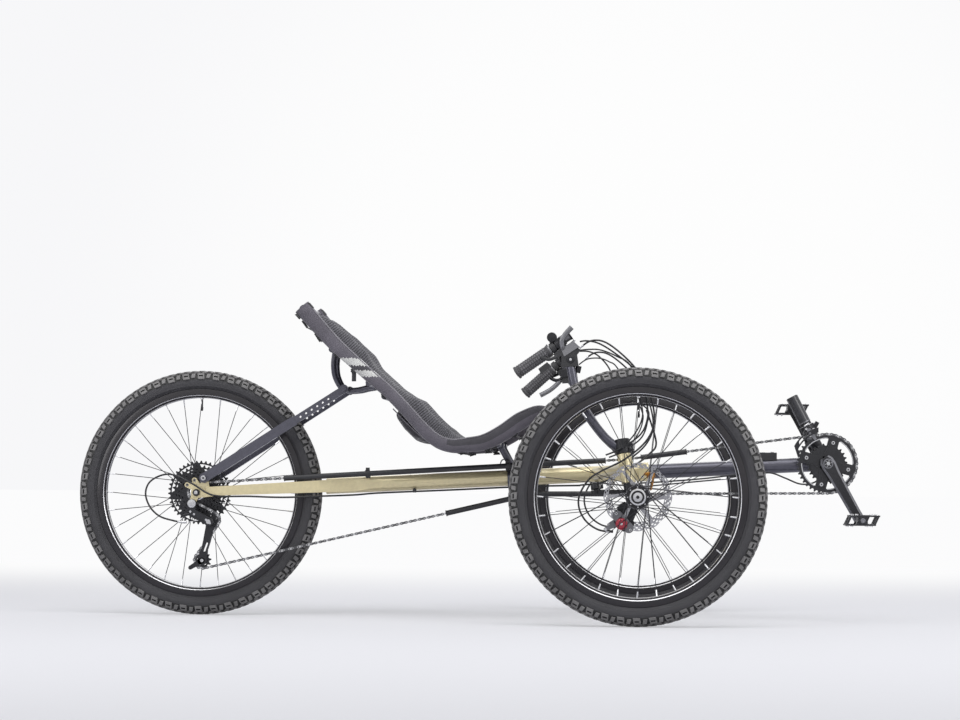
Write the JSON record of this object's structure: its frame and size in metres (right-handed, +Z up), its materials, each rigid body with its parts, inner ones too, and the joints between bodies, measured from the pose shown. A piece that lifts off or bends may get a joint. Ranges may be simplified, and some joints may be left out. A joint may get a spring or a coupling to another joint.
{
  "type": "recumbent trike",
  "caption": "Recumbent pedal tricycle with two steered front wheels, a mesh sling seat, side handlebars and a chain drive to the rear wheel.",
  "frame": {"origin": "on the floor at the middle of the bounding box", "axes": "+X forward, +Y to the rider's left, +Z up"},
  "size_m": [2.1932, 0.908, 0.8499],
  "materials": {
    "black_metal": "black anodised, satin",
    "black_plastic": "matt black",
    "chain_steel": "dull steel",
    "frame_paint": "pale metallic gold, glossy",
    "grey_paint": "dark metallic grey, satin",
    "grip": "ribbed black rubber",
    "mesh": "black spacer mesh",
    "spoke_black": "black",
    "steel": "brushed",
    "tyre": "knobbly black rubber"
  },
  "bodies": {
    "frame": {"main_tube": "frame_paint", "left_chainstay": "frame_paint", "right_chainstay": "frame_paint", "left_cross_tube": "frame_paint", "right_cross_tube": "frame_paint", "boom": "grey_paint", "boom_bracket": "black_plastic", "derailleur_post": "black_metal", "front_derailleur": "black_metal", "seat_frame": "grey_paint", "seat_mat": "mesh", "seat_pocket": "mesh", "left_seat_stay": "grey_paint", "right_seat_stay": "grey_paint", "seat_rear_bracket": "grey_paint", "seat_front_bracket": "grey_paint", "chain": "chain_steel", "upper_chain_tube": "black_plastic", "front_chain_tube": "black_plastic", "lower_chain_tube": "black_plastic", "chain_idler": "black_plastic", "rear_derailleur": "black_metal", "shift_cable": "black_plastic", "rear_axle": "steel"},
    "rear_wheel": {"rear_tyre": "tyre", "rear_rim": "spoke_black", "rear_hub": "black_metal"},
    "cassette": {"cassette": "steel"},
    "left_steering": {"left_knuckle": "black_metal", "left_handlebar": "grey_paint", "left_grip": "grip", "left_controls": "black_plastic", "left_brake_caliper": "black_metal", "left_brake_cable": "black_plastic"},
    "right_steering": {"right_knuckle": "black_metal", "right_handlebar": "grey_paint", "right_grip": "grip", "right_controls": "black_plastic", "right_brake_caliper": "black_metal", "right_brake_cable": "black_plastic"},
    "left_wheel": {"left_tyre": "tyre", "left_rim": "spoke_black", "left_hub": "black_metal", "left_brake_disc": "steel"},
    "right_wheel": {"right_tyre": "tyre", "right_rim": "spoke_black", "right_hub": "black_metal", "right_brake_disc": "steel"},
    "tie_rod": {"tie_rod": "black_metal"},
    "cranks": {"chainrings": "black_metal", "crank_arms": "black_metal"},
    "left_pedal": {"left_pedal": "black_metal"},
    "right_pedal": {"right_pedal": "black_metal"}
  },
  "joints": [
    {"name": "rear_wheel_spin", "type": "hinge", "parent": "frame", "child": "rear_wheel", "pos_m": [-0.75959, 0, 0.337], "axis": [0, 1, 0], "continuous": true},
    {"name": "cassette_spin", "type": "hinge", "parent": "frame", "child": "cassette", "pos_m": [-0.75959, -0.055, 0.337], "axis": [0, 1, 0], "continuous": true},
    {"name": "crank_spin", "type": "hinge", "parent": "frame", "child": "cranks", "pos_m": [0.96441, 0, 0.43], "axis": [0, 1, 0], "continuous": true},
    {"name": "left_pedal_spin", "type": "hinge", "parent": "cranks", "child": "left_pedal", "pos_m": [0.87824, 0.15, 0.58231], "axis": [0, 1, 0], "continuous": true},
    {"name": "right_pedal_spin", "type": "hinge", "parent": "cranks", "child": "right_pedal", "pos_m": [1.05059, -0.15, 0.27769], "axis": [0, 1, 0], "continuous": true},
    {"name": "steer_left", "type": "hinge", "parent": "frame", "child": "left_steering", "pos_m": [0.41854, 0.3203, 0.41], "axis": [-0.1706, -0.188, 0.9672], "range_deg": [-25, 25]},
    {"name": "steer_right", "type": "hinge", "parent": "frame", "child": "right_steering", "pos_m": [0.41854, -0.3203, 0.41], "axis": [-0.1706, 0.188, 0.9672], "range_deg": [-25, 25]},
    {"name": "left_wheel_spin", "type": "hinge", "parent": "left_steering", "child": "left_wheel", "pos_m": [0.44941, 0.4, 0.337], "axis": [0, 1, 0], "continuous": true},
    {"name": "right_wheel_spin", "type": "hinge", "parent": "right_steering", "child": "right_wheel", "pos_m": [0.44941, -0.4, 0.337], "axis": [0, 1, 0], "continuous": true},
    {"name": "tie_rod_swing", "type": "hinge", "parent": "left_steering", "child": "tie_rod", "pos_m": [0.337, 0.32963, 0.362], "axis": [-0.1214, -0.1894, 0.9744], "range_deg": [-25, 25]}
  ],
  "couplings": [
    {"joint": "steer_right", "follows": "steer_left", "ratio": 1},
    {"joint": "tie_rod_swing", "follows": "steer_left", "ratio": -0.9924},
    {"joint": "cassette_spin", "follows": "crank_spin", "ratio": 3.0769}
  ]
}
